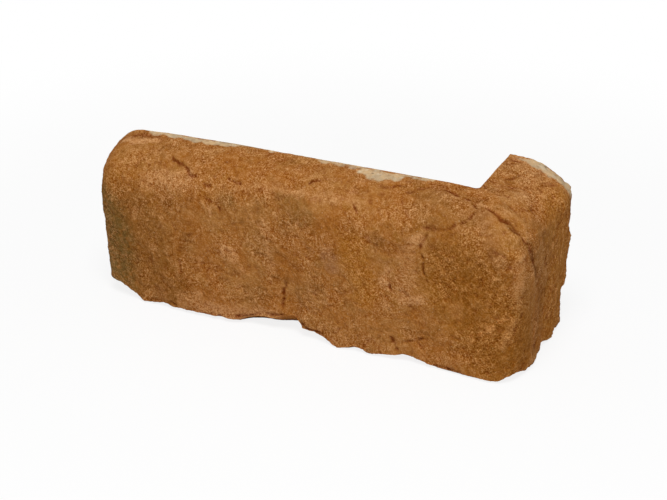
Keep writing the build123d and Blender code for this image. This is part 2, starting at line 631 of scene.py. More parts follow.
@dataclass(frozen=True)
class Mound(Mark):
    """A swelling, or a hollow where its size is negative: a round spot, or a bar along its path."""

    def relief(self, grid: RockGrid, points: np.ndarray) -> np.ndarray:
        """The size times the square of one minus the squared share of the width.

        Args:
            grid: the skin.
            points: its points, moved a little.

        Returns:
            The move of each point outwards.
        """
        if len(self.path) == 1:
            distance = np.linalg.norm(points - grid.point(self.path[0]), axis=-1)
        else:
            distance = self.measured(grid, points)[0]
        return self.size * np.maximum(1 - (distance / self.width) ** 2, 0.0) ** 2


@dataclass(frozen=True)
class Scatter:
    """Small marks of one kind at random places.

    down and length are the lowest and highest values that are drawn, bend is the most that a path is bent,
    as a share of its length, and ranges are those of the kind's own sizes, in the order of its fields.
    """

    kind: type[Mark]
    count: int
    down: Place
    length: Place
    bend: float
    ranges: tuple[Place, ...]
    MARGIN = 4.0

    def drawn(self, draw: np.random.Generator, whole_run: float) -> Mark:
        """Draws one mark: its place, its turn and length, its bend, and then its sizes, in that order.

        Args:
            draw: the random numbers.
            whole_run: length of the skin.

        Returns:
            The mark, on a short path of three places.
        """
        along, down = draw.uniform(self.MARGIN, whole_run - self.MARGIN), draw.uniform(*self.down)
        turn, length = draw.uniform(0, math.tau), draw.uniform(*self.length)
        bend = draw.uniform(-self.bend, self.bend) * length
        run, rise = math.cos(turn) * length / 2, math.sin(turn) * length / 2
        side, up = -math.sin(turn) * bend, math.cos(turn) * bend
        path = ((along - run, down - rise), (along + side, down + up), (along + run, down + rise))
        return self.kind(path, *(draw.uniform(low, high) for low, high in self.ranges))


class Tint(Enum):
    """The colours that the skin carries in patches, each an attribute of the mesh."""

    BACK = "cast_back"
    BARE = "bare_concrete"
    # Pale patches: worn colour, and painted highlight on ridges and a raised edge
    PALE = "pale_wear_and_highlight"
    # Olive patches: greener pigment; the one on the left end is also painted shade
    OLIVE_AND_SHADE = "olive_and_shade"
    MAUVE = "mauve_stain"
    OCHRE = "ochre_stain"
    # Umber patches: darker pigment, and painted shade on faces turned from the lamps and along the corner
    # crack
    UMBER_AND_SHADE = "umber_wash"


@dataclass(frozen=True)
class Patch:
    """A patch of colour on the skin, for stains, wear, painted shade and painted highlight: round places
    along a path, its edge torn by noise.
    """

    tint: Tint
    path: tuple[Place, ...]
    width: float
    strength: float
    FULL = 0.8

    def cover(self, grid: RockGrid, points: np.ndarray) -> np.ndarray:
        """Strength inside the path's width, falling to nothing at its edge."""
        distance = Mound(self.path, 1.0, self.width).relief(grid, points)
        return self.strength * ease_between(distance, 0.0, self.FULL)


@dataclass(frozen=True)
class RockRelief:
    """The relief of the split face, from broad waves to grit, and the marks on it, in millimetres.

    A size is the distance over which a noise changes, a height is how strong it is, and a gain is how much
    weaker each finer layer of it is.
    """

    marks: tuple[Mark, ...]
    seed: int = 41
    broad_size: float = 46.0
    broad_height: float = 1.30
    broad_layers: int = 2
    lump_size: float = 17.0
    lump_height: float = 0.80
    lump_gain: float = 0.55
    lump_layers: int = 3
    scar_size: float = 30.0
    scar_height: float = 3.2
    scar_layers: int = 3
    scar_step: float = 0.36
    riser_share: float = 0.28
    levelled_share: float = 0.55
    grit_size: float = 5.2
    grit_height: float = 0.30
    grit_crest: float = 0.5
    grit_fall: float = 2.2
    grit_patch: float = 26.0
    grit_range: tuple[float, float] = (-0.25, 0.30)
    grit_least: float = 0.35
    fine_size: float = 2.3
    fine_height: float = 0.32
    grain_gain: float = 0.6
    grain_layers: int = 2
    bend_size: float = 9.0
    bend_reach: float = 3.0
    curl_size: float = 3.4
    curl_reach: float = 1.05
    return_gain: float = 0.3
    return_run: float = 30.0
    scattered: tuple[Scatter, ...] = (
        Scatter(Ledge, 40, (14, 138), (5, 17), 0.35, ((0.20, 0.55), (0.5, 0.9), (4, 11))),
        Scatter(Groove, 22, (12, 138), (3, 11), 0.25, ((0.25, 0.55), (0.7, 1.2))),
    )

    def heights(self, grid: RockGrid) -> np.ndarray:
        """Height of the relief over the block's skin, outwards.

        The sum of: broad and middle noise, terraces of a third noise, which leave broken edges, ridged
        grit and fine grit, all stronger on the return, the listed marks and the scattered ones.

        Args:
            grid: the skin.

        Returns:
            One height for each point of the grid.
        """
        points = grid.points
        waves = Noise(self.seed + 1)
        bends = waves.vectors(points, self.bend_size) * self.bend_reach
        waved = points + bends + waves.vectors(points, self.curl_size) * self.curl_reach
        height = Noise(self.seed + 2).layers(points, self.broad_size, self.broad_layers) * self.broad_height
        lumps = Noise(self.seed + 3).layers(waved, self.lump_size, self.lump_layers, self.lump_gain)
        height += lumps * self.lump_height
        height += self._terraces(waved)
        height += self._grit(waved)
        middle = grid.shape.corner_middle
        on_return = ease_between(grid.s, middle, middle + self.return_run)
        height *= 1 + self.return_gain * column(on_return)
        for mark in (*self.marks, *self._scattered_marks(grid)):
            height += mark.relief(grid, waved)
        return height

    def _terraces(self, points: np.ndarray) -> np.ndarray:
        """Noise cut into steps with short eased risers, less a share of the noise itself, so that they tilt.

        Args:
            points: the skin's points, moved a little.

        Returns:
            The height of the steps.
        """
        raw = Noise(self.seed + 4).layers(points, self.scar_size, self.scar_layers)
        raw = raw * self.scar_height / self.scar_step
        whole = np.floor(raw)
        risen = whole + ease_between(raw - whole, 0.0, self.riser_share)
        return (risen - raw * self.levelled_share) * self.scar_step

    def _grit(self, points: np.ndarray) -> np.ndarray:
        """Coarse grit with sharp crests, strongest in patches of a broad noise, and even fine grit.

        Args:
            points: the skin's points, moved a little.

        Returns:
            The height of both.
        """
        where = ease_between(Noise(self.seed + 5).at(points, self.grit_patch), *self.grit_range)
        ridges = Noise(self.seed + 6).layers(points, self.grit_size, self.grain_layers, self.grain_gain)
        coarse = (self.grit_crest - np.abs(ridges) * self.grit_fall) * self.grit_height
        fine = Noise(self.seed + 7).layers(points, self.fine_size, self.grain_layers, self.grain_gain)
        return coarse * (self.grit_least + (1 - self.grit_least) * where) + fine * self.fine_height

    def _scattered_marks(self, grid: RockGrid) -> list[Mark]:
        """Small flake scars and short cracks at random places of the face, drawn in a fixed order."""
        draw = np.random.default_rng(self.seed)
        return [each.drawn(draw, grid.shape.whole_run) for each in self.scattered for _ in range(each.count)]


class MeshParts:
    """Vertices, faces and attributes of one closed piece, gathered patch by patch."""

    def __init__(self) -> None:
        """Starts empty."""
        self.points: list[np.ndarray] = []
        self.values: dict[str, list[np.ndarray]] = {}
        self.faces: list[list[int]] = []
        self.count = 0

    def add_points(self, points: np.ndarray, values: dict[str, np.ndarray]) -> np.ndarray:
        """Adds points and their attribute values.

        Args:
            points: places in millimetres, any grid of them.
            values: for each attribute, one number for each place.

        Returns:
            The vertices' numbers, in the same grid.
        """
        shape = points.shape[:-1]
        amount = int(np.prod(shape))
        self.points.append(points.reshape(-1, 3))
        for name, value in values.items():
            self.values.setdefault(name, []).append(np.broadcast_to(value, shape).ravel())
        numbers = np.arange(self.count, self.count + amount).reshape(shape)
        self.count += amount
        return numbers

    def add_quads(self, numbers: np.ndarray) -> None:
        """Faces between neighbours of a grid of vertex numbers."""
        a, b, c, d = numbers[:-1, :-1], numbers[1:, :-1], numbers[1:, 1:], numbers[:-1, 1:]
        self.faces += np.stack([a, d, c, b], -1).reshape(-1, 4).tolist()

    def add_fan(self, rim: np.ndarray, centre: int) -> None:
        """Triangles from a closed rim of vertices to one in its middle."""
        ahead = np.roll(rim, -1)
        self.faces += np.stack([rim, ahead, np.full_like(rim, centre)], -1).tolist()

    def build(self, name: str, smooth_angle: float) -> bpy.types.Object:
        """Makes the object, in metres, smooth except where the surface turns sharply.

        Args:
            name: name of the object and its mesh.
            smooth_angle: turns sharper than this many degrees stay sharp.

        Returns:
            The object, at the origin.
        """
        mesh = bpy.data.meshes.new(name)
        mesh.from_pydata((np.concatenate(self.points) * MM).tolist(), [], self.faces)
        for attribute, parts in self.values.items():
            layer = mesh.attributes.new(attribute, "FLOAT", "POINT")
            layer.data.foreach_set("value", np.concatenate(parts).astype(np.float32))
        mesh.validate()
        mesh.shade_smooth()
        mesh.set_sharp_from_angle(angle=math.radians(smooth_angle))
        piece = bpy.data.objects.new(name, mesh)
        bpy.context.scene.collection.objects.link(piece)
        return piece


@dataclass(frozen=True)
class CastSide:
    """A cast side, in millimetres: hollows of a grain, so deep on the whole and so uneven."""

    grain: float
    depth: float
    uneven: float
    gain: float
    LAYERS = 3

    def hollows(self, noise: Noise, points: np.ndarray) -> np.ndarray:
        """Depth below the flat side: the usual depth plus noise, and never less than nothing."""
        waves = noise.layers(points, self.grain, self.LAYERS, self.gain)
        return np.maximum(self.depth + waves * self.uneven, 0.0)


@dataclass(frozen=True)
class VeneerCorner:
    """The unit: its rock skin, flat bed, flat backs and the two ends, as one closed mesh.

    grid is the block's skin, relief is what the rock's surface adds, patches are the stains and worn places,
    some of them painted shade and painted highlight, and box holds the lowest and highest corner that the
    unit may reach, in millimetres.
    """

    grid: RockGrid
    relief: RockRelief
    patches: tuple[Patch, ...]
    box: np.ndarray
    back: CastSide = CastSide(11.0, 0.35, 0.70, 0.60)
    end: CastSide = CastSide(13.0, 0.55, 1.10, 0.55)
    bed_grain: float = 8.0
    bed_layers: int = 2
    bed_hollow: float = 0.5
    back_rim: float = 8.0
    end_rim: float = 6.0
    end_middle: float = 0.5
    top_run: float = 3.0
    top_least: float = 0.3
    fade: float = 13.0
    fade_grain: float = 8.0
    fade_layers: int = 4
    fade_gain: float = 0.65
    fade_torn: float = 1.1
    fade_step: float = 1.3
    fade_most: float = 0.9
    run_grain: float = 9.0
    run_torn: float = 0.8
    run_range: tuple[float, float] = (0.15, 0.60)
    crevice_depth: float = 0.9
    crevice_passes: int = 3
    crevice_reach: int = 2
    patch_bend: float = 7.0
    patch_reach: float = 5.0
    sharp_turn: float = 52.0

    NAME = "veneer_corner_rock"
    # The relief's signed depth below its surroundings, which the material paints as shade in hollows and as
    # highlight on crests
    PAINTED_SHADING = "painted_shading_depth"
    FLAT = np.array([1.0, 1.0, 0.0])
    UP = np.array([0.0, 0.0, 1.0])

    @cached_property
    def cast_noise(self) -> Noise:
        """Noise of the cast sides."""
        return Noise(self.relief.seed + 20)

    @cached_property
    def patch_noise(self) -> Noise:
        """Noise that tears the colour patches, some of them painted shade and painted highlight."""
        return Noise(self.relief.seed + 21)

    def build(self) -> bpy.types.Object:
        """Makes the whole unit.

        Returns:
            The object, with its attributes.
        """
        height = self.relief.heights(self.grid)
        rock = self._displaced(height)
        tints = self._rock_tints(rock, height)
        bed, back = self._bed_rows(rock), self._back_rows(rock)
        parts = MeshParts()
        rings = np.concatenate([rock, bed, back], axis=1)
        flat = self._flat_tints(np.concatenate([bed, back], axis=1), bed.shape[1])
        values = {name: np.concatenate([tints[name], flat[name]], axis=1) for name in tints}
        numbers = parts.add_points(rings, values)
        parts.add_quads(np.concatenate([numbers, numbers[:, :1]], axis=1))
        for side, at in ((-1, 0), (1, -1)):
            rim_values = {name: value[at] for name, value in values.items()}
            self._add_cap(parts, numbers[at], rings[at], rim_values, side)
        return parts.build(self.NAME, self.sharp_turn)

    def _displaced(self, height: np.ndarray) -> np.ndarray:
        """The skin moved along its normals by the relief, with both borders kept on their planes.

        Args:
            height: the relief at each point of the grid.

        Returns:
            The rock's points, none of them outside the box.
        """
        normals = self.grid.normals.copy()
        normals[:, 0, :2] = 0.0
        normals[:, -1, 2] = 0.0
        share = self.top_least + (1 - self.top_least) * ease(self.grid.down / self.top_run)
        rock = self.grid.points + normals * (height * share)[..., None]
        rock[..., 2] = np.maximum(rock[..., 2], 0.0)
        rock[:, -1, 2] = 0.0
        return np.clip(rock, self.box[0], self.box[1])

    def _bed_rows(self, rock: np.ndarray) -> np.ndarray:
        """Rows across the bed: straight from the break's foot to the back, a hair above the bed plane.

        Args:
            rock: the rock's points.

        Returns:
            The rows behind the break's foot, the last one at the back.
        """
        back_foot = rock[:, 0] * self.FLAT
        share = np.linspace(0, 1, self.grid.counts.bed + 1)[1:, None]
        rows = rock[:, -1:, :] + (back_foot - rock[:, -1])[:, None, :] * share
        hollow = np.abs(self.cast_noise.layers(rows, self.bed_grain, self.bed_layers)) * self.bed_hollow
        rows[..., 2] += hollow * np.sin(np.pi * share[:, 0])
        return rows

    def _back_rows(self, rock: np.ndarray) -> np.ndarray:
        """Rows up the backs: straight from the bed to the back top edge, with shallow hollows of the casting.

        Args:
            rock: the rock's points.

        Returns:
            The rows between the bed and the top edge.
        """
        share = np.linspace(0, 1, self.grid.counts.back + 1)[1:-1, None]
        rows = rock[:, None, 0, :] * self.FLAT + self.UP * (rock[:, None, 0, 2:3] * share)
        _, outward = self.grid.shape.frames(self.grid.s)
        from_rim = np.minimum(1.0, self.back_rim * share[:, 0] * (1 - share[:, 0]))
        depth = self.back.hollows(self.cast_noise, rows) * from_rim
        rows[..., :2] += outward[:, None, :] * depth[..., None]
        return rows

    def _add_cap(
        self, parts: MeshParts, rim: np.ndarray, points: np.ndarray, values: dict[str, np.ndarray], side: int
    ) -> None:
        """Closes one end with rings that shrink towards the middle of the section.

        Args:
            parts: the mesh so far.
            rim: the vertices of the section's edge.
            points: their places.
            values: their attributes.
            side: -1 at the start of the skin, 1 at its end.
        """
        centre = (points.min(axis=0) + points.max(axis=0)) / 2
        steps = self.grid.counts.cap
        shrink = (1 - np.arange(1, steps) / steps)[:, None, None]
        rings = centre + (points - centre) * shrink
        inward = np.array([1.0, 0.0, 0.0]) if side < 0 else np.array([0.0, -1.0, 0.0])
        from_rim = np.clip(1 - np.abs(shrink[..., 0] * 2 - 1) ** self.end_rim, 0, 1)
        rings = rings + inward * (self.end.hollows(self.cast_noise, rings) * from_rim)[..., None]
        cap_values = {name: np.repeat(value[None, :], steps - 1, axis=0) for name, value in values.items()}
        cap_values[Tint.BARE.value] = cap_values[Tint.BACK.value] = self._end_cover(rings, side)
        cap_values[self.PAINTED_SHADING] = np.zeros(rings.shape[:-1])
        numbers = parts.add_points(rings, cap_values)
        whole = np.concatenate([rim[None, :], numbers], axis=0)
        whole = np.concatenate([whole, whole[:, :1]], axis=1)
        middle_values = {name: np.array([value[-1].mean()]) for name, value in cap_values.items()}
        middle = parts.add_points((centre + inward * self.end_middle)[None, :], middle_values)
        parts.add_quads(whole[::side])
        parts.add_fan(numbers[-1][::side], int(middle[0]))

    def _end_cover(self, points: np.ndarray, side: int) -> np.ndarray:
        """Bare concrete on the ends: most at the back edge, fading towards the rock, torn by noise.

        Args:
            points: places on the end.
            side: -1 on the end of the long leg, 1 on that of the return.

        Returns:
            The share of bare concrete at each place.
        """
        shape = self.grid.shape
        from_back = shape.back_y - points[..., 1] if side < 0 else points[..., 0] - shape.back_x
        torn = self.patch_noise.layers(points, self.fade_grain, self.fade_layers, self.fade_gain)
        share = 1 - from_back / self.fade + torn * self.fade_torn
        return ease_between(share, 0.0, self.fade_step) * self.fade_most

    def _rock_tints(self, rock: np.ndarray, height: np.ndarray) -> dict[str, np.ndarray]:
        """Attributes of the rock skin: how deep each place lies in its surroundings, for the painted shade of
        hollows and the painted highlight of crests, and the colour patches.

        Args:
            rock: the rock's points.
            height: the relief there.

        Returns:
            For each attribute, one number for each point.
        """
        # Depth below the blurred relief: positive in hollows for painted shade, negative on crests for
        # painted highlight
        smooth = height
        for _ in range(self.crevice_passes):
            smooth = self._blurred(smooth, self.crevice_reach)
        tints = {self.PAINTED_SHADING: np.clip((smooth - height) / self.crevice_depth, -1.0, 1.0)}
        moved = rock + self.patch_noise.vectors(rock, self.patch_bend) * self.patch_reach
        for tint in Tint:
            covers = [patch.cover(self.grid, moved) for patch in self.patches if patch.tint is tint]
            tints[tint.value] = np.max([np.zeros(rock.shape[:-1]), *covers], axis=0)
        return tints

    def _flat_tints(self, rows: np.ndarray, bed_rows: int) -> dict[str, np.ndarray]:
        """Attributes of the bed and the backs: bare concrete, with colour run over the bed's front edge.

        Args:
            rows: points of the bed and then of the backs.
            bed_rows: how many of the rows are the bed's.

        Returns:
            For each attribute, one number for each point.
        """
        shape = rows.shape[:-1]
        tints = {name: np.zeros(shape) for name in (*(tint.value for tint in Tint), self.PAINTED_SHADING)}
        bare = np.ones(shape)
        torn = self.patch_noise.at(rows[:, :bed_rows], self.run_grain) * self.run_torn
        bare[:, :bed_rows] = ease_between(np.linspace(0, 1, bed_rows) + torn, *self.run_range)
        tints[Tint.BARE.value] = tints[Tint.BACK.value] = bare
        return tints

    @staticmethod
    def _blurred(values: np.ndarray, reach: int) -> np.ndarray:
        """Mean over a square of the grid, by running sums along each of its two directions.

        Args:
            values: one number for each point.
            reach: how many cells the square reaches each way.

        Returns:
            The means, in the same grid.
        """
        width = 2 * reach + 1
        for axis in (0, 1):
            pad = [(reach, reach) if i == axis else (0, 0) for i in (0, 1)]
            total = np.insert(np.cumsum(np.pad(values, pad, mode="edge"), axis=axis), 0, 0.0, axis=axis)
            first = np.arange(values.shape[axis])
            values = (np.take(total, first + width, axis) - np.take(total, first, axis)) / width
        return values


class Wire:
    """One output of a shader node. Operators on it add Math nodes."""

    def __init__(self, shader: "Shader", socket: bpy.types.NodeSocket) -> None:
        """Keeps the output and the shader that it belongs to."""
        self.shader, self.socket = shader, socket

    def _math(self, operation: str, *values: "Wire | float") -> "Wire":
        """A Math node of these values."""
        sockets = dict(enumerate(values))
        return self.shader.node("ShaderNodeMath", {"operation": operation}, sockets)

    def __add__(self, other: "Wire | float") -> "Wire":
        """Sum."""
        return self._math("ADD", self, other)

    __radd__ = __add__

    def __sub__(self, other: "Wire | float") -> "Wire":
        """Difference."""
        return self._math("SUBTRACT", self, other)

    def __rsub__(self, other: float) -> "Wire":
        """Difference from a number."""
        return self._math("SUBTRACT", other, self)

    def __mul__(self, other: "Wire | float") -> "Wire":
        """Product."""
        return self._math("MULTIPLY", self, other)

    __rmul__ = __mul__

    def clamped(self) -> "Wire":
        """The same, kept between 0 and 1."""
        return self._math("MINIMUM", self._math("MAXIMUM", self, 0.0), 1.0)

    def absolute(self) -> "Wire":
        """Its size without its sign."""
        return self._math("ABSOLUTE", self)

    def eased(self, low: float, high: float, share: float = 1.0) -> "Wire":
        """Smooth step from 0 at low to the share at high."""
        sockets = {"Value": self, "From Min": low, "From Max": high, "To Max": share}
        return self.shader.node("ShaderNodeMapRange", {"interpolation_type": "SMOOTHSTEP"}, sockets)


class Shader:
    """A node tree that is written as expressions."""

    def __init__(self, tree: bpy.types.NodeTree) -> None:
        """Empties the tree."""
        self.tree = tree
        tree.nodes.clear()

    def node(
        self, kind: str, settings: dict[str, object], sockets: dict[str | int, object], out: int | str = 0
    ) -> Wire:
        """Adds a node.

        Args:
            kind: the node's type.
            settings: its properties, set before its sockets.
            sockets: values or wires for its inputs, by name or number.
            out: the output to return.

        Returns:
            That output.
        """
        node = self.tree.nodes.new(kind)
        for name, value in settings.items():
            setattr(node, name, value)
        for name, value in sockets.items():
            if isinstance(value, Wire):
                self.tree.links.new(value.socket, node.inputs[name])
            else:
                node.inputs[name].default_value = value
        return Wire(self, node.outputs[out] if node.outputs else None)

    def attribute(self, name: str) -> Wire:
        """A number kept on the mesh."""
        return self.node("ShaderNodeAttribute", {"attribute_name": name}, {}, "Fac")

    def place(self) -> Wire:
        """The place on the object, in metres."""
        return self.node("ShaderNodeTexCoord", {}, {}, "Object")

    def noise(
        self, place: Wire, size: float, detail: float = 2.0, rough: float = 0.5, twist: float = 0.0
    ) -> Wire:
        """Noise from 0 to 1.

        Args:
            place: the point that it is read at.
            size: how large its features are, in millimetres.
            detail: how many finer layers it has.
            rough: how strong they are.
            twist: how much it is bent by itself.

        Returns:
            The noise.
        """
        sockets = {"Vector": place, "Scale": 1 / (size * MM), "Detail": detail, "Roughness": rough}
        sockets["Distortion"] = twist
        return self.node("ShaderNodeTexNoise", {"noise_dimensions": "3D"}, sockets)

    def mottle(self, place: Wire, pattern: Pattern, step: Step) -> Wire:
        """Drifting patches: a noise, eased from the step's start to its end."""
        return self.noise(place, *pattern).eased(*step)

    def spots(self, place: Wire, spacing: float, step: Step) -> Wire:
        """Round spots about a spacing apart, in millimetres: one minus the distance to the nearest, eased."""
        sockets = {"Vector": place, "Scale": 1 / (spacing * MM)}
        return (1 - self.node("ShaderNodeTexVoronoi", {"feature": "F1"}, sockets)).eased(*step)

    def blend(
        self, share: Wire | float, first: Wire | Colour, second: Wire | Colour, way: str = "MIX"
    ) -> Wire:
        """Colour between two, by a share: inputs 0, 6 and 7 of the Mix node, and its output 2."""
        settings = {"data_type": "RGBA", "blend_type": way, "clamp_factor": True}
        return self.node("ShaderNodeMix", settings, {0: share, 6: first, 7: second}, 2)


@dataclass(frozen=True)
class PigmentedConcrete:
    """Cast concrete with a sandy skin: sienna, tan, umber and ochre, pale and bare where colour missed, with
    painted shade in hollows, pits and pores and painted highlight on crests and ridges.
    """

    sienna: Colour = (0.342, 0.122, 0.018, 1.0)
    tan: Colour = (0.380, 0.172, 0.044, 1.0)
    umber: Colour = (0.196, 0.074, 0.011, 1.0)
    ochre: Colour = (0.335, 0.138, 0.014, 1.0)
    mauve: Colour = (0.340, 0.150, 0.060, 1.0)
    olive: Colour = (0.142, 0.086, 0.022, 1.0)
    worn_pale_and_highlight: Colour = (0.580, 0.295, 0.120, 1.0)
    pale_sand_and_highlight: Colour = (0.680, 0.360, 0.155, 1.0)
    dark_shade: Colour = (0.600, 0.385, 0.120, 1.0)
    deep_shade: Colour = (0.400, 0.160, 0.040, 1.0)
    cream: Colour = (0.600, 0.405, 0.215, 1.0)
    cement: Colour = (0.470, 0.340, 0.200, 1.0)
    lime: Colour = (0.780, 0.680, 0.500, 1.0)
    pore_shade: Colour = (0.200, 0.150, 0.090, 1.0)
    warmth: Colour = (1.0, 0.89, 0.62, 1.0)
    back_dark: Colour = (0.360, 0.300, 0.215, 1.0)
    back_light: Colour = (0.460, 0.390, 0.285, 1.0)
    back_sand: Colour = (0.250, 0.200, 0.135, 1.0)

    # The coat of colour
    tan_drift: Mottle = ((24.0, 4.0, 0.60, 0.6), (0.38, 0.64, 0.75))
    umber_wash: Mottle = ((13.0, 4.0, 0.62, 0.3), (0.50, 0.72, 0.55))
    ochre_vein: Mottle = ((9.0, 3.0, 0.60, 0.8), (0.56, 0.72, 0.45))
    patch_mottle: Mottle = ((3.4, 3.0, 0.60), (0.25, 0.60, 0.65))
    patch_least: float = 0.30
    warmth_share: float = 0.9

    # The sand in it: grains, with painted highlight on the grit's crests, painted shade in its pits, and
    # painted glints
    grit: Pattern = (1.7, 3.0, 0.62, 0.4)
    speck: Pattern = (0.85, 1.0, 0.5)
    blotch: Pattern = (3.0, 2.0, 0.6, 0.9)
    richness: Mottle = ((19.0, 2.0, 0.5), (0.34, 0.66, 0.62))
    richness_least: float = 0.41
    richness_pale: float = 0.40
    richness_return: float = 0.35
    return_top: tuple[Place, Place] = ((-0.035, -0.005), (0.085, 0.105))
    pale_grit: Step = (0.50, 0.70, 0.24)
    pale_speck: Step = (0.48, 0.66, 0.38)
    pale_curls: tuple[float, float] = (6.0, 0.50)
    dark_grit: Step = (0.50, 0.70, 0.34)
    dark_speck: Step = (0.48, 0.66, 0.60)
    dark_blotch: Step = (0.52, 0.76, 0.14)
    dark_curls: tuple[float, float] = (7.7, 0.40)
    curl_shape: Pattern = (2.0, 0.55, 1.0)
    curl_width: float = 0.06
    curl_gaps: Mottle = ((0.55, 1.0, 0.5), (0.44, 0.58))
    glints: Spots = (5.5, (0.90, 0.96, 0.55))

    # Bare concrete, with painted shade in its pores
    torn: Pattern = (4.0, 4.0, 0.7)
    torn_share: float = 1.1
    bare_step: Step = (0.22, 0.90)
    cement_drift: Mottle = ((12.0, 3.0, 0.6), (0.40, 0.62))
    chalk: Mottle = ((7.0, 3.0, 0.6), (0.50, 0.68, 0.35))
    lime_grit: Step = (0.52, 0.75, 0.35)
    fine_pores: Spots = (2.8, (0.82, 0.93, 0.6))
    wide_pores: Spots = (13.0, (0.90, 0.93))
    pore_share: float = 0.7

    # The struck backs
    cloud: Mottle = ((34.0, 5.0, 0.62), (0.30, 0.70))
    back_grit: Step = (0.50, 0.74, 0.45)
    aggregate: Spots = (4.2, (0.72, 0.82, 0.45))
    aggregate_patch: Mottle = ((8.0,), (0.50, 0.60))

    # Painted shade in hollows and painted highlight on crests, roughness and bumps
    painted_hollow_shade: tuple[float, float] = (1.25, 0.80)
    painted_crest_highlight: tuple[float, float] = (-1.20, 0.28)
    roughness: float = 0.86
    roughness_drift: float = 0.12
    roughness_size: float = 6.0
    specular: float = 0.03
    fine_sand: Pattern = (0.9, 2.0, 0.6)
    grit_bump: float = 0.62
    bare_smoothness: float = 0.45
    bump_depth: float = 1.0

    def build(self) -> bpy.types.Material:
        """Makes the material.

        Returns:
            The material, which reads Object coordinates and the attributes of the mesh.
        """
        material = bpy.data.materials.new("pigmented_concrete_finish")
        material.use_nodes = True
        shader = Shader(material.node_tree)
        place = shader.place()
        grit = shader.noise(place, *self.grit)
        painted_shading_depth = shader.attribute(VeneerCorner.PAINTED_SHADING)
        torn = (shader.noise(place, *self.torn) - 0.5) * self.torn_share
        bare = (shader.attribute(Tint.BARE.value) + torn).eased(*self.bare_step)
        pores = (shader.spots(place, *self.fine_pores) + shader.spots(place, *self.wide_pores)).clamped()
        concrete = self._bare_concrete(shader, place, grit)
        cast_back = self._cast_back(shader, place, grit)
        concrete = shader.blend(shader.attribute(Tint.BACK.value), concrete, cast_back)
        # Painted shade: the pores darkened
        concrete = shader.blend(pores * self.pore_share, concrete, self.pore_shade)
        colour = shader.blend(bare, self._sandy_coat(shader, place, grit), concrete)
        # Painted shade: deep shade multiplied into the relief's hollows
        gain, most = self.painted_hollow_shade
        colour = shader.blend((painted_shading_depth * gain).clamped() * most, colour, self.deep_shade, "MULTIPLY")
        # Painted highlight: pale sand on the relief's crests
        gain, most = self.painted_crest_highlight
        colour = shader.blend((painted_shading_depth * gain).clamped() * most, colour, self.pale_sand_and_highlight)
        sockets = {
            "Base Color": colour,
            "Roughness": self.roughness + shader.noise(place, self.roughness_size) * self.roughness_drift,
            "Normal": self._bumps(shader, place, grit, bare, pores),
            "Specular IOR Level": self.specular,
        }
        surface = shader.node("ShaderNodeBsdfPrincipled", {}, sockets)
        shader.node("ShaderNodeOutputMaterial", {}, {"Surface": surface})
        return material

    def _pigment(self, shader: Shader, place: Wire) -> Wire:
        """The colour: sienna and tan in drifts, umber washes, ochre veins, and the patches of the attributes,
        stains with some painted shade and painted highlight.

        Args:
            shader: the material's node tree.
            place: the point on the object.

        Returns:
            The colour without its sand.
        """
        colour = shader.blend(shader.mottle(place, *self.tan_drift), self.sienna, self.tan)
        colour = shader.blend(shader.mottle(place, *self.umber_wash), colour, self.umber)
        colour = shader.blend(shader.mottle(place, *self.ochre_vein), colour, self.ochre)
        mottled = shader.mottle(place, *self.patch_mottle) + self.patch_least
        # The patches of the attributes: stains and wear, with painted shade in umber and olive ones and
        # painted highlight in pale ones
        for tint, patch_colour in (
            (Tint.OCHRE, self.ochre),
            (Tint.MAUVE, self.mauve),
            (Tint.UMBER_AND_SHADE, self.umber),
            (Tint.OLIVE_AND_SHADE, self.olive),
            (Tint.PALE, self.worn_pale_and_highlight),
        ):
            colour = shader.blend(shader.attribute(tint.value) * mottled, colour, patch_colour)
        return colour

    def _sandy_coat(self, shader: Shader, place: Wire, grit: Wire) -> Wire:
        """The colour with its sand: pale grains and painted highlight on the grit's crests, dark grains and
        painted shade in the pits between them, and painted glints.

        Args:
            shader: the material's node tree.
            place: the point on the object.
            grit: the coarse grit's noise.

        Returns:
            The colour of the coated rock.
        """
        blotch, speck = shader.noise(place, *self.blotch), shader.noise(place, *self.speck)
        rich = shader.mottle(place, *self.richness) + self.richness_least
        rich = rich + self._on_return_top(shader, place) * self.richness_return
        rich = rich + shader.attribute(Tint.PALE.value) * self.richness_pale
        # Pale on the grit's crests, where the bump stands out: sand grains and painted highlight
        pale = grit.eased(*self.pale_grit) + speck.eased(*self.pale_speck)
        pale = pale + self._curls(shader, place, *self.pale_curls)
        # Dark in the grit's pits, where the bump sinks: dark grains and painted shade; the speck, blotch and
        # curls are grain colour
        dark = (1 - grit).eased(*self.dark_grit) + (1 - speck).eased(*self.dark_speck)
        dark = dark + (1 - blotch).eased(*self.dark_blotch) + self._curls(shader, place, *self.dark_curls)
        colour = self._pigment(shader, place)
        colour = shader.blend((pale * rich).clamped(), colour, self.pale_sand_and_highlight)
        colour = shader.blend((dark * rich).clamped(), colour, self.dark_shade, "MULTIPLY")
        # Painted glints: cream spots
        colour = shader.blend(shader.spots(place, *self.glints), colour, self.cream)
        warm = shader.attribute(Tint.OCHRE.value) * self.warmth_share
        return shader.blend(warm, colour, self.warmth, "MULTIPLY")

    def _curls(self, shader: Shader, place: Wire, size: float, share: float) -> Wire:
        """Short thin curls: the lines where a noise passes its middle, broken up by a finer noise.

        Args:
            shader: the material's node tree.
            place: the point on the object.
            size: how large the curls are, in millimetres.
            share: how strong they are.

        Returns:
            Their strength.
        """
        line = (shader.noise(place, size, *self.curl_shape) - 0.5).absolute()
        (finer, *pattern), step = self.curl_gaps
        broken = shader.mottle(place, (size * finer, *pattern), step)
        return (1 - line.eased(0.0, self.curl_width)) * broken * share

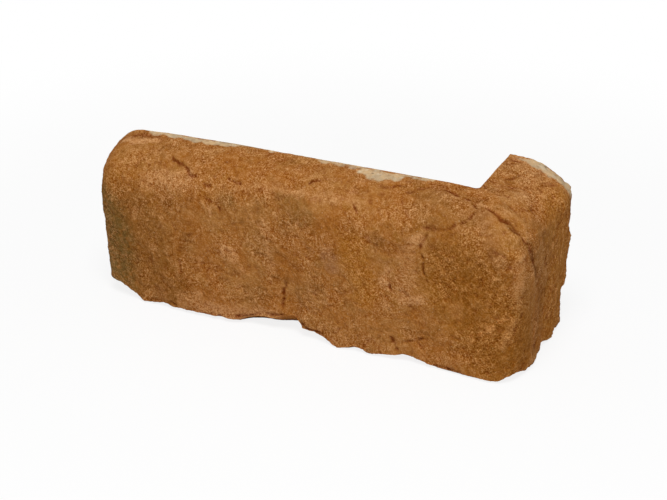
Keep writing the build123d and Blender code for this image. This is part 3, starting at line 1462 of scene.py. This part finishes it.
    def _on_return_top(self, shader: Shader, place: Wire) -> Wire:
        """The top of the return, where the sand shows more strongly: eased by Y and by Z.

        Args:
            shader: the material's node tree.
            place: the point on the object.

        Returns:
            One there, and zero elsewhere.
        """
        by_y, by_z = (
            shader.node("ShaderNodeSeparateXYZ", {}, {0: place}, axis).eased(*step)
            for axis, step in zip("YZ", self.return_top)
        )
        return by_y * by_z

    def _bare_concrete(self, shader: Shader, place: Wire, grit: Wire) -> Wire:
        """Bare concrete: cream and grey-green cement in drifts, chalky in places, with pale sand.

        Args:
            shader: the material's node tree.
            place: the point on the object.
            grit: the coarse grit's noise.

        Returns:
            Its colour.
        """
        colour = shader.blend(shader.mottle(place, *self.cement_drift), self.cream, self.cement)
        colour = shader.blend(shader.mottle(place, *self.chalk), colour, self.lime)
        return shader.blend(grit.eased(*self.lime_grit), colour, self.lime)

    def _cast_back(self, shader: Shader, place: Wire, grit: Wire) -> Wire:
        """The struck back: even grey-beige cement with faint clouds, fine sand and a few lighter grains.

        Args:
            shader: the material's node tree.
            place: the point on the object.
            grit: the coarse grit's noise.

        Returns:
            Its colour.
        """
        colour = shader.blend(shader.mottle(place, *self.cloud), self.back_dark, self.back_light)
        colour = shader.blend((1 - grit).eased(*self.back_grit), colour, self.back_sand)
        grains = shader.spots(place, *self.aggregate) * shader.mottle(place, *self.aggregate_patch)
        return shader.blend(grains, colour, self.lime)

    def _bumps(self, shader: Shader, place: Wire, grit: Wire, bare: Wire, pores: Wire) -> Wire:
        """Normal of the sand: grit and finer sand as heights, weaker on bare concrete, which has pores.

        Args:
            shader: the material's node tree.
            place: the point on the object.
            grit: the coarse grit's noise.
            bare: the share of bare concrete.
            pores: the pores in it.

        Returns:
            The bent normal.
        """
        sand = shader.noise(place, *self.fine_sand)
        sand = grit * self.grit_bump + sand * (1 - self.grit_bump)
        height = sand * (1 - bare * self.bare_smoothness) - pores * bare * self.pore_share
        return shader.node("ShaderNodeBump", {}, {"Distance": self.bump_depth * MM, "Height": height})


@dataclass(frozen=True)
class Lamp:
    """A soft square lamp. share is how much of full daylight it gives a surface that faces it."""

    name: str
    place: tuple[float, float, float]
    size: float
    share: float

    def build(self, aim: Vector) -> None:
        """Makes the lamp, turned to its aim: pi squared times the squared distance times the share, in watts.

        Args:
            aim: the point that it shines at, in metres.
        """
        data = bpy.data.lights.new(self.name, "AREA")
        data.shape = "SQUARE"
        data.size = self.size
        away = Vector(self.place) - aim
        data.energy = math.pi**2 * away.length_squared * self.share
        lamp = bpy.data.objects.new(self.name, data)
        lamp.location = self.place
        lamp.rotation_euler = away.to_track_quat("Z", "Y").to_euler()
        bpy.context.scene.collection.objects.link(lamp)


@dataclass(frozen=True)
class Studio:
    """A pale floor under soft lamps, with a camera at the viewing angle of the photograph."""

    floor_half_width: float = 8.0
    floor_colour: Colour = (0.90, 0.90, 0.90, 1.0)
    backdrop_share: float = 0.84
    white_from: float = 0.20
    white_to: float = 0.60
    ambient: float = 0.34
    lamps: tuple[Lamp, ...] = (
        Lamp("key_lamp", (0.22, -0.55, 1.34), 0.55, 0.72),
        Lamp("front_lamp", (0.30, -1.45, 0.60), 1.0, 0.04),
    )
    azimuth: float = 24.74
    elevation: float = 26.36
    distance: float = 1.0112
    target: tuple[float, float, float] = (0.00206, 0.0, 0.0455)
    focal_pixels: float = 1500.0
    picture_width: float = 667.0
    sensor: float = 36.0
    SEEN_BY = ("Is Camera Ray", "Is Glossy Ray", "Is Transmission Ray")

    def build(self) -> None:
        """Makes the floor, the world, the lamps and the camera."""
        scene = bpy.context.scene
        scene.view_settings.view_transform = "Standard"
        self._floor()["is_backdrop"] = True
        self._world(scene)
        for lamp in self.lamps:
            lamp.build(Vector(self.target))
        scene.camera = self._camera()

    def _seen(self, shader: Shader) -> Wire:
        """One for rays from the camera, in a mirror or through glass, where the backdrop is to show white."""
        rays = [shader.node("ShaderNodeLightPath", {}, {}, name) for name in self.SEEN_BY]
        return (rays[0] + rays[1] + rays[2]).clamped()

    def _floor(self) -> bpy.types.Object:
        """A wide floor that keeps the shadow, whitened for the camera and clear from below.

        Returns:
            The floor.
        """
        half = self.floor_half_width
        mesh = bpy.data.meshes.new("floor")
        corners = [(-half, -half, 0), (half, -half, 0), (half, half, 0), (-half, half, 0)]
        mesh.from_pydata(corners, [], [(0, 1, 2, 3)])
        material = bpy.data.materials.new("floor_finish")
        material.use_nodes = True
        shader = Shader(material.node_tree)
        matt = shader.node("ShaderNodeBsdfDiffuse", {}, {"Color": self.floor_colour})
        white = shader.node("ShaderNodeEmission", {}, {"Strength": 1.0})
        from_unit = shader.node("ShaderNodeVectorMath", {"operation": "LENGTH"}, {0: shader.place()}, "Value")
        far = from_unit.eased(self.white_from, self.white_to) * (1 - self.backdrop_share)
        share = self._seen(shader) * (far + self.backdrop_share)
        surface = shader.node("ShaderNodeMixShader", {}, {0: share, 1: matt, 2: white})
        clear = shader.node("ShaderNodeBsdfTransparent", {}, {})
        below = shader.node("ShaderNodeNewGeometry", {}, {}, "Backfacing")
        surface = shader.node("ShaderNodeMixShader", {}, {0: below, 1: surface, 2: clear})
        shader.node("ShaderNodeOutputMaterial", {}, {"Surface": surface})
        mesh.materials.append(material)
        floor = bpy.data.objects.new("floor", mesh)
        bpy.context.scene.collection.objects.link(floor)
        return floor

    def _world(self, scene: bpy.types.Scene) -> None:
        """Even light from all round, white where the camera sees it.

        Args:
            scene: the scene that it lights.
        """
        world = bpy.data.worlds.new("studio")
        world.use_nodes = True
        scene.world = world
        shader = Shader(world.node_tree)
        strength = self.ambient + self._seen(shader) * (1 - self.ambient)
        light = shader.node("ShaderNodeBackground", {}, {"Color": (1.0, 1.0, 1.0, 1.0), "Strength": strength})
        shader.node("ShaderNodeOutputWorld", {}, {"Surface": light})

    def _camera(self) -> bpy.types.Object:
        """The camera: its direction from the two angles, its lens from the focal length in pixels.

        Returns:
            The camera.
        """
        a, e = math.radians(self.azimuth), math.radians(self.elevation)
        back = Vector((math.sin(a) * math.cos(e), -math.cos(a) * math.cos(e), math.sin(e)))
        data = bpy.data.cameras.new("camera")
        data.sensor_width = self.sensor
        data.lens = self.focal_pixels * self.sensor / self.picture_width
        camera = bpy.data.objects.new("camera", data)
        camera.location = Vector(self.target) + back * self.distance
        camera.rotation_euler = back.to_track_quat("Z", "Y").to_euler()
        bpy.context.scene.collection.objects.link(camera)
        return camera


def mount_place(name: str) -> tuple[float, float, float]:
    """Place of one of the record's mounts, in millimetres."""
    mounts = {mount["name"]: mount["pos_m"] for mount in frame["record"]["mounts"]}
    return tuple(value / MM for value in mounts[name])


# Cracks, ridges and the oval swelling of the top shoulder, from left to right
SHOULDER_MARKS: tuple[Mark, ...] = (
    Groove(((15, 36), (22, 46), (28, 51), (36, 52)), 0.5, 1.6),
    Mound(((3, 46), (3, 74)), -0.9, 12.0),
    Mound(((2, 96), (2, 120)), 1.3, 12.0),
    Groove(((39, 20), (43, 29)), 0.5, 0.9),
    Groove(((50, 23), (55, 27), (62, 29), (69, 35), (72, 37)), 1.5, 1.0),
    Groove(((71, 36), (74, 37), (77, 36)), 1.2, 1.2),
    Groove(((76, 37), (81, 39), (85, 41), (90, 41)), 1.0, 1.0),
    Ledge(((50, 23), (55, 27), (62, 29), (69, 35), (76, 38)), 0.6, 0.7, 9.0),
    Groove(((98, 34), (103, 35), (109, 37)), 1.2, 1.0),
    Ledge(((10, 49), (34, 44), (50, 46), (72, 45), (88, 43)), 0.4, 1.6, 24.0),
    Ledge(((88, 43), (106, 41), (117, 37), (140, 37), (168, 36), (190, 39)), 0.4, 1.8, 26.0),
    Groove(((106, 40), (117, 36), (128, 35), (140, 36), (153, 36), (168, 35)), -0.30, 1.9),
    Groove(((153, 29), (155, 25), (160, 22)), 2.2, 1.5),
    Groove(((188, 36), (190, 39), (193, 42)), 1.4, 1.0),
    Groove(((186, 14), (195, 16), (202, 17), (209, 16), (219, 11)), 0.7, 1.3),
    Mound(((238, 26), (254, 26)), 1.2, 19.0),
    Groove(((231, 40), (223, 34), (218, 26), (217, 22), (222, 15), (234, 11)), 0.5, 1.4),
    Groove(((252, 11), (259, 13), (265, 15), (272, 20)), 1.8, 1.2),
    Groove(((271, 19), (275, 25), (272, 30)), 1.0, 1.0),
    Groove(((273, 28), (268, 34), (262, 37)), 1.0, 1.1),
    Groove(((262, 37), (258, 39), (252, 41), (247, 42)), 0.9, 1.0),
    Groove(((246, 42), (240, 43), (235, 42)), 1.0, 1.3),
    Groove(((275, 23), (279, 22), (284, 22)), -0.9, 1.1),
    Groove(((264, 39), (271, 44), (280, 49)), 0.45, 0.9),
    Groove(((238, 38), (240, 42)), 0.6, 0.8),
    Groove(((276, 12), (282, 15), (290, 14)), 0.6, 1.1),
    Groove(((296, 12), (302, 19), (312, 24)), 0.6, 1.2),
    Groove(((300, 34), (312, 38), (322, 36)), 0.6, 1.3),
    Groove(((318, 14), (328, 20), (330, 28)), 0.5, 1.2),
    Mound(((15, 6), (30, 5)), -0.8, 5.0),
    Mound(((9, 13), (21, 15), (32, 12)), 0.6, 4.0),
)

# Cracks, flakes and soft ridges of the long leg's face, from left to right
FACE_MARKS: tuple[Mark, ...] = (
    Groove(((61, 85), (60, 102), (59, 120)), -0.5, 1.4),
    Groove(((64, 86), (63, 102), (62, 119)), 0.5, 1.1),
    Groove(((78, 48), (81, 52), (85, 57), (88, 62)), -1.0, 1.1),
    Groove(((83, 49), (90, 53), (94, 56), (97, 62)), 1.2, 0.9),
    Ledge(((97, 62), (94, 56), (90, 53), (83, 49)), 0.5, 0.6, 7.0),
    Groove(((97, 92), (95, 86), (98, 81), (102, 82), (106, 89), (109, 96), (110, 102)), -0.8, 1.3),
    Mound(((100, 88), (106, 98)), 0.4, 6.0),
    Groove(((128, 60), (129, 78), (129, 95)), -0.3, 1.6),
    Groove(((139, 103), (138, 113), (138, 124)), 1.9, 1.3),
    Groove(((168, 131), (174, 131), (178, 130)), 0.7, 0.8),
    Groove(((182, 85), (185, 88), (189, 91)), 0.6, 0.7),
    Ledge(((197, 56), (200, 54), (203, 58)), 0.6, 0.6, 6.0),
    Groove(((215, 73), (214, 80), (216, 86), (220, 91)), 1.3, 0.9),
    Groove(((219, 107), (214, 99)), -0.7, 1.3),
    Groove(((225, 96), (230, 91), (236, 93), (240, 98)), -0.8, 1.3),
    Mound(((232, 100),), -0.5, 5.0),
    Groove(((200, 121), (207, 121), (213, 122)), 0.5, 1.0),
    Groove(((215, 123), (217, 126), (219, 128)), 1.5, 1.6),
    Groove(((219, 127), (221, 131), (223, 138)), 1.6, 1.2),
    Groove(((220, 127), (227, 125), (234, 123), (243, 121)), 0.5, 0.8),
    Ledge(((206, 122), (216, 127), (225, 124), (235, 121), (247, 121)), 0.5, 0.9, 10.0),
    Groove(((240, 44), (237, 49), (236, 54)), 0.8, 1.1),
    Groove(((235, 48), (235, 54), (237, 62), (239, 70), (241, 81)), 1.1, 0.9),
    Mound(((260, 98),), 0.5, 9.0),
    Groove(((34, 135), (40, 135), (46, 134)), 0.9, 1.3),
    Groove(((50, 134), (53, 135), (58, 136)), 1.0, 1.2),
    Groove(((74, 138), (84, 138), (94, 138)), 0.8, 1.2),
    Groove(((100, 137), (109, 136), (120, 132)), 1.1, 1.4),
    Groove(((125, 131), (132, 130), (139, 127)), 1.2, 1.5),
    Groove(((149, 129), (154, 132), (160, 134), (167, 134)), 1.6, 2.2),
    Groove(((244, 139), (254, 140), (266, 142)), 1.0, 1.4),
)

# The long crack that sweeps over the corner and down, and the worn ridges inside it
CORNER_MARKS: tuple[Mark, ...] = (
    Groove(((281, 22), (284, 27), (287, 33), (289, 37)), 1.3, 1.2),
    Groove(((286, 33), (289, 38), (290, 43), (293, 49)), 1.2, 1.5),
    Groove(((292, 48), (294, 53), (297, 58)), 0.5, 1.0),
    Groove(((296, 57), (299, 63), (301, 70), (304, 79), (309, 88)), 1.3, 2.0),
    Ledge(((309, 86), (302, 72), (294, 53), (288, 37), (283, 24)), 0.7, 1.0, 12.0),
    Mound(((283, 23), (290, 42), (294, 54), (300, 68), (308, 82)), -0.6, 7.0),
    Mound(((308, 82), (318, 92), (324, 106), (323, 121), (316, 134)), -1.2, 9.0),
    Groove(((314, 114), (320, 126)), 0.9, 1.2),
    Groove(((275, 54), (280, 58), (283, 62), (286, 69)), 0.6, 1.0),
    Mound(((290, 62), (291, 77), (290, 91)), 0.5, 5.0),
    Mound(((289, 107), (286, 113), (284, 121)), 0.5, 4.0),
    Mound(((281, 102), (282, 110), (282, 119)), -0.5, 4.0),
    Groove(((293, 28), (297, 40), (301, 50)), -0.6, 1.2),
    Mound(((306, 143), (314, 143)), 1.8, 10.0),
)

# Upright grooves of the return's face, pits of its top, and the nicks of its far edge
RETURN_MARKS: tuple[Mark, ...] = (
    Groove(((367, 3), (366, 8), (366, 12)), 1.0, 1.4),
    Groove(((331, 10), (337, 14), (348, 16)), 1.0, 1.3),
    Mound(((337, 35),), 0.7, 4.0),
    Groove(((334, 56), (332, 66), (331, 77)), -0.6, 1.0),
    Groove(((345, 62), (350, 91)), 0.6, 1.2),
    Groove(((328, 84), (331, 105), (330, 124)), 0.7, 1.4),
    Groove(((338, 95), (340, 125)), -0.5, 1.2),
    Groove(((348, 106), (349, 122), (345, 135)), 0.8, 1.2),
    Groove(((356, 95), (358, 125)), 0.7, 1.3),
    Mound(((371, 45),), 1.5, 5.0),
    Mound(((371, 48),), -1.2, 2.6),
    Mound(((368, 56), (368, 72)), -1.6, 9.0),
    Mound(((369, 80),), 0.8, 7.0),
    Mound(((369, 106), (369, 111)), 1.6, 8.0),
)

# The patches of each colour, a row each: the path, the half width and the strength
COLOUR_PATCHES: dict[Tint, tuple[tuple[tuple[Place, ...], float, float], ...]] = {
    # Where the pale concrete shows: along the back top edge and on the end of the return
    Tint.BARE: (
        (((24, 1), (49, 3), (62, 4), (80, 2), (95, 0)), 5.2, 1.0),
        (((56, 3), (66, 4), (84, 3)), 5.5, 1.0),
        (((95, 0), (150, 0)), 2.6, 0.8),
        (((150, 1), (178, 2)), 5.0, 0.7),
        (((184, 5), (193, 9), (205, 7)), 8.5, 1.0),
        (((205, 2), (228, 1)), 4.5, 0.8),
        (((371, 8), (371, 16)), 4.0, 0.6),
        (((370, 18), (367, 27), (367, 36), (370, 46)), 8.5, 0.95),
    ),
    # Where the colour coat is worn pale; the thin lines on ridges and crack edges and the band on the top's
    # raised edge are also painted highlight
    Tint.PALE: (
        (((370, 8), (365, 24), (366, 44)), 9.0, 0.7),
        # The raised edge below the top's shallow hollow: worn pale and painted highlight
        (((9, 13), (21, 15), (32, 12)), 5.5, 1.0),
        (((38, 45), (53, 41), (69, 42)), 11.0, 0.5),
        (((62, 131), (100, 132), (130, 131)), 9.0, 0.45),
        (((358, 18), (358, 34)), 10.0, 0.5),
        (((30, 69),), 6.0, 0.5),
        (((41, 93),), 6.0, 0.5),
        (((74, 124),), 7.0, 0.5),
        (((97, 92), (98, 81), (109, 98)), 3.5, 0.5),
        (((128, 60), (129, 95)), 5.0, 0.35),
        (((106, 40), (128, 35), (168, 35)), 5.0, 0.25),
        (((150, 36), (170, 35), (190, 34)), 5.0, 0.35),
        (((186, 29),), 6.0, 0.5),
        (((213, 76), (212, 86)), 5.0, 0.6),
        (((214, 100),), 5.0, 0.5),
        (((235, 49), (230, 53)), 6.0, 0.85),
        (((228, 60), (226, 90)), 10.0, 0.35),
        (((225, 96), (236, 93)), 6.0, 0.7),
        (((260, 98),), 10.0, 0.35),
        (((290, 62), (290, 95)), 7.0, 0.35),
        (((289, 107), (284, 121)), 7.0, 0.3),
        (((337, 35),), 6.0, 1.0),
        # Thin pale lines along ridges and crack edges: worn pale and painted highlight
        (((268, 20), (272, 21), (278, 22), (284, 22)), 2.4, 1.0),
        (((78, 48), (81, 52), (85, 57), (88, 62)), 1.8, 0.9),
        (((97, 92), (95, 86), (98, 81), (102, 82), (106, 89), (110, 102)), 1.8, 0.9),
        (((334, 56), (332, 66), (331, 77)), 1.8, 0.9),
        (((350, 68), (352, 92)), 1.8, 0.7),
        (((338, 98), (341, 122)), 1.8, 0.8),
        (((346, 104), (349, 124)), 1.7, 0.8),
        (((272, 112), (278, 109), (283, 104)), 2.4, 0.8),
        (((340, 8), (346, 22)), 1.8, 0.8),
        (((352, 6), (357, 24)), 1.8, 0.8),
        (((322, 16), (330, 22), (334, 30)), 1.8, 0.7),
        (((322, 30), (345, 30)), 15.0, 0.3),
    ),
    # Greener; the first, on the left end, is also painted shade on the end turned from the lamps
    Tint.OLIVE_AND_SHADE: (
        (((2, 60), (8, 89), (8, 107), (6, 121)), 28.0, 0.95),
        (((142, 44), (154, 49)), 13.0, 0.4),
        (((100, 49),), 10.0, 0.3),
    ),
    # Redder
    Tint.MAUVE: (
        (((45, 129),), 10.0, 0.8),
        (((62, 134), (130, 132)), 9.0, 0.5),
        (((72, 37),), 4.0, 0.9),
        (((173, 73), (176, 80)), 9.0, 0.8),
        (((275, 31), (279, 62)), 8.0, 0.5),
    ),
    # Yellower
    Tint.OCHRE: (
        (((57, 112),), 9.0, 0.9),
        (((20, 60), (45, 125)), 45.0, 0.35),
        (((345, 50), (350, 125)), 34.0, 0.60),
        (((85, 50),), 9.0, 0.6),
        (((190, 63), (199, 96)), 15.0, 0.7),
        (((286, 60),), 7.0, 0.7),
        (((262, 75), (285, 125)), 42.0, 0.95),
    ),
    # Darker: umber pigment, and painted shade on the left end, the shoulder by the swelling, the corner's
    # front, the return's face and along the corner crack
    Tint.UMBER_AND_SHADE: (
        (((25, 75), (45, 125)), 45.0, 0.74),
        (((240, 25), (265, 30)), 24.0, 0.56),
        (((264, 70), (286, 125)), 42.0, 0.70),
        (((288, 37), (292, 47)), 4.0, 0.6),
        (((297, 57), (301, 70), (306, 84)), 6.0, 0.8),
        (((303, 72), (318, 92), (324, 106), (322, 124), (310, 140)), 12.0, 0.5),
        (((322, 70), (326, 110)), 13.0, 0.38),
        (((325, 18), (345, 22)), 20.0, 0.22),
    ),
}


def main() -> None:
    """Builds the unit and the studio round it, and reports each piece."""
    low, high = (np.array(corner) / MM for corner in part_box(NODE))
    shape = BlockShape(
        left_x=low[0],
        right_x=high[0],
        front_y=low[1],
        end_y=high[1],
        height=high[2],
        back_x=mount_place("return_back")[0],
        back_y=mount_place("long_leg_back")[1],
    )
    grid = RockGrid(shape, GridCounts())
    relief = RockRelief(SHOULDER_MARKS + FACE_MARKS + CORNER_MARKS + RETURN_MARKS)
    patches = tuple(Patch(tint, *row) for tint, rows in COLOUR_PATCHES.items() for row in rows)
    unit = VeneerCorner(grid, relief, patches, np.array([low, high]))
    piece = unit.build()
    piece.data.materials.append(PigmentedConcrete().build())
    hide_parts(NODE)
    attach(piece, BODY)
    log.info("%s: %d vertices, %d faces", piece.name, len(piece.data.vertices), len(piece.data.polygons))
    Studio().build()
    boxes = {"cad": cad_box, "visual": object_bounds()}
    {name: [list(corner) for corner in box] for name, box in boxes.items()}


if __name__ == "__main__":
    logging.basicConfig(level=logging.INFO)
    main()
